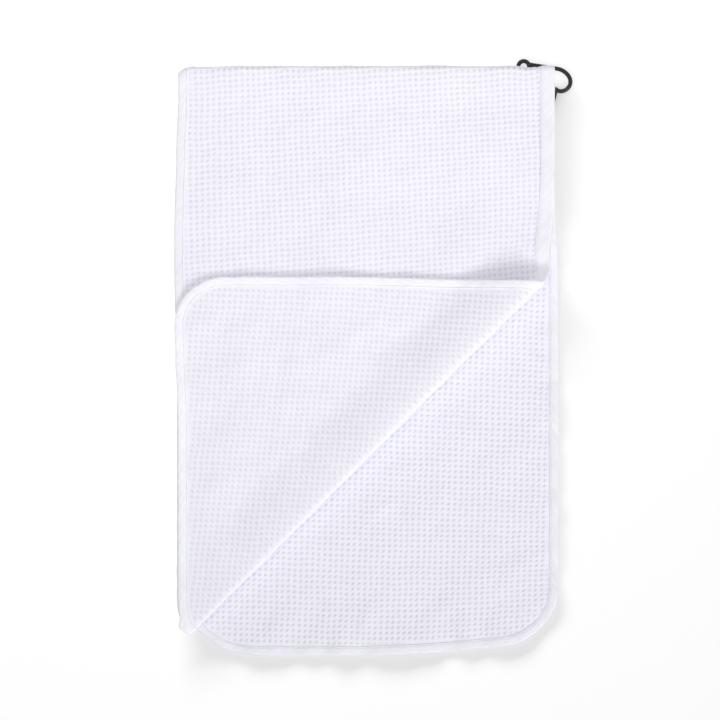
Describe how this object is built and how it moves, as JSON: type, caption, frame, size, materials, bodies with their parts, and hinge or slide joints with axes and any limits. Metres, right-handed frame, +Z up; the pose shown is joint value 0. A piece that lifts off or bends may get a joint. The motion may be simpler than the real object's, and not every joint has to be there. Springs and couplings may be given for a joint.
{
  "type": "golf towel",
  "caption": "White waffle-weave golf towel with bound edges, folded once with one corner turned up, and a dark wire carabiner on a webbing loop behind a top corner.",
  "frame": {"origin": "on the flat underside of the back layer, on the towel's centre line, 272.5 mm from its bottom edge; the binding stands 0.9 mm below it", "axes": "+Z up from the surface the towel lies on; +Y towards the folded top edge; +X towards the side with the clip"},
  "size_m": [0.3651, 0.5503, 0.025],
  "materials": {
    "waffle_cloth": "white microfibre waffle weave, matt",
    "binding_tape": "white knitted binding tape, folded over the edge",
    "thread": "white polyester sewing thread",
    "webbing": "black woven ribbon",
    "coated_wire": "dark grey coated wire, satin",
    "steel": "plain steel, small hidden parts"
  },
  "bodies": {
    "towel_back": {"waffle_back": "waffle_cloth", "binding_back": "binding_tape", "thread_inner_back": "thread", "thread_outer_back": "thread", "waffle_top_fold": "waffle_cloth", "binding_top_fold_left": "binding_tape", "binding_top_fold_right": "binding_tape", "thread_inner_top_fold_left": "thread", "thread_inner_top_fold_right": "thread", "thread_outer_top_fold_left": "thread", "thread_outer_top_fold_right": "thread", "hanging_loop": "webbing", "loop_bartack_1": "thread", "loop_bartack_2": "thread"},
    "towel_front": {"waffle_front": "waffle_cloth", "binding_front_left": "binding_tape", "binding_front_right": "binding_tape", "thread_inner_front_left": "thread", "thread_inner_front_right": "thread", "thread_outer_front_left": "thread", "thread_outer_front_right": "thread", "waffle_crease": "waffle_cloth", "binding_crease_lower": "binding_tape", "binding_crease_upper": "binding_tape", "thread_inner_crease_lower": "thread", "thread_inner_crease_upper": "thread", "thread_outer_crease_lower": "thread", "thread_outer_crease_upper": "thread"},
    "corner_flap": {"waffle_corner": "waffle_cloth", "binding_corner": "binding_tape", "thread_inner_corner": "thread", "thread_outer_corner": "thread"},
    "clip": {"clip_body": "coated_wire", "gate_rivet": "steel"},
    "gate": {"clip_gate": "coated_wire", "gate_spring": "steel"},
    "plunger": {"gate_plunger": "steel"}
  },
  "joints": [
    {"name": "front_fold", "type": "hinge", "parent": "towel_back", "child": "towel_front", "pos_m": [0, 0.2683, 0.00685], "axis": [-0.9998, 0, -0.0174], "range_deg": [0, 179.9], "deforming": ["waffle_top_fold", "binding_top_fold_left", "binding_top_fold_right", "thread_inner_top_fold_left", "thread_inner_top_fold_right", "thread_outer_top_fold_left", "thread_outer_top_fold_right"]},
    {"name": "corner_fold", "type": "hinge", "parent": "towel_front", "child": "corner_flap", "pos_m": [0.1564, 0.0785, 0.0135], "axis": [0.7002, 0.7138, 0.0104], "range_deg": [0, 179.9], "deforming": ["waffle_crease", "binding_crease_lower", "binding_crease_upper", "thread_inner_crease_lower", "thread_inner_crease_upper", "thread_outer_crease_lower", "thread_outer_crease_upper"]},
    {"name": "clip_flip", "type": "hinge", "parent": "towel_back", "child": "clip", "pos_m": [0.17181, 0.25009, 0.00205], "axis": [-0.9703, 0.2419, 0], "range_deg": [0, 180]},
    {"name": "gate_pivot", "type": "hinge", "parent": "clip", "child": "gate", "pos_m": [0.1532, 0.2669, 0.00205], "axis": [0, 0, 1], "range_deg": [0, 30], "stiffness_Nm_per_rad": 0.02},
    {"name": "plunger_slide", "type": "slide", "parent": "gate", "child": "plunger", "axis": [0.6018, -0.7986, 0], "range_m": [0, 0.0006], "deforming": ["gate_spring"]}
  ],
  "couplings": [
    {"joint": "plunger_slide", "follows": "gate_pivot", "m_per_rad": 0.000955}
  ]
}
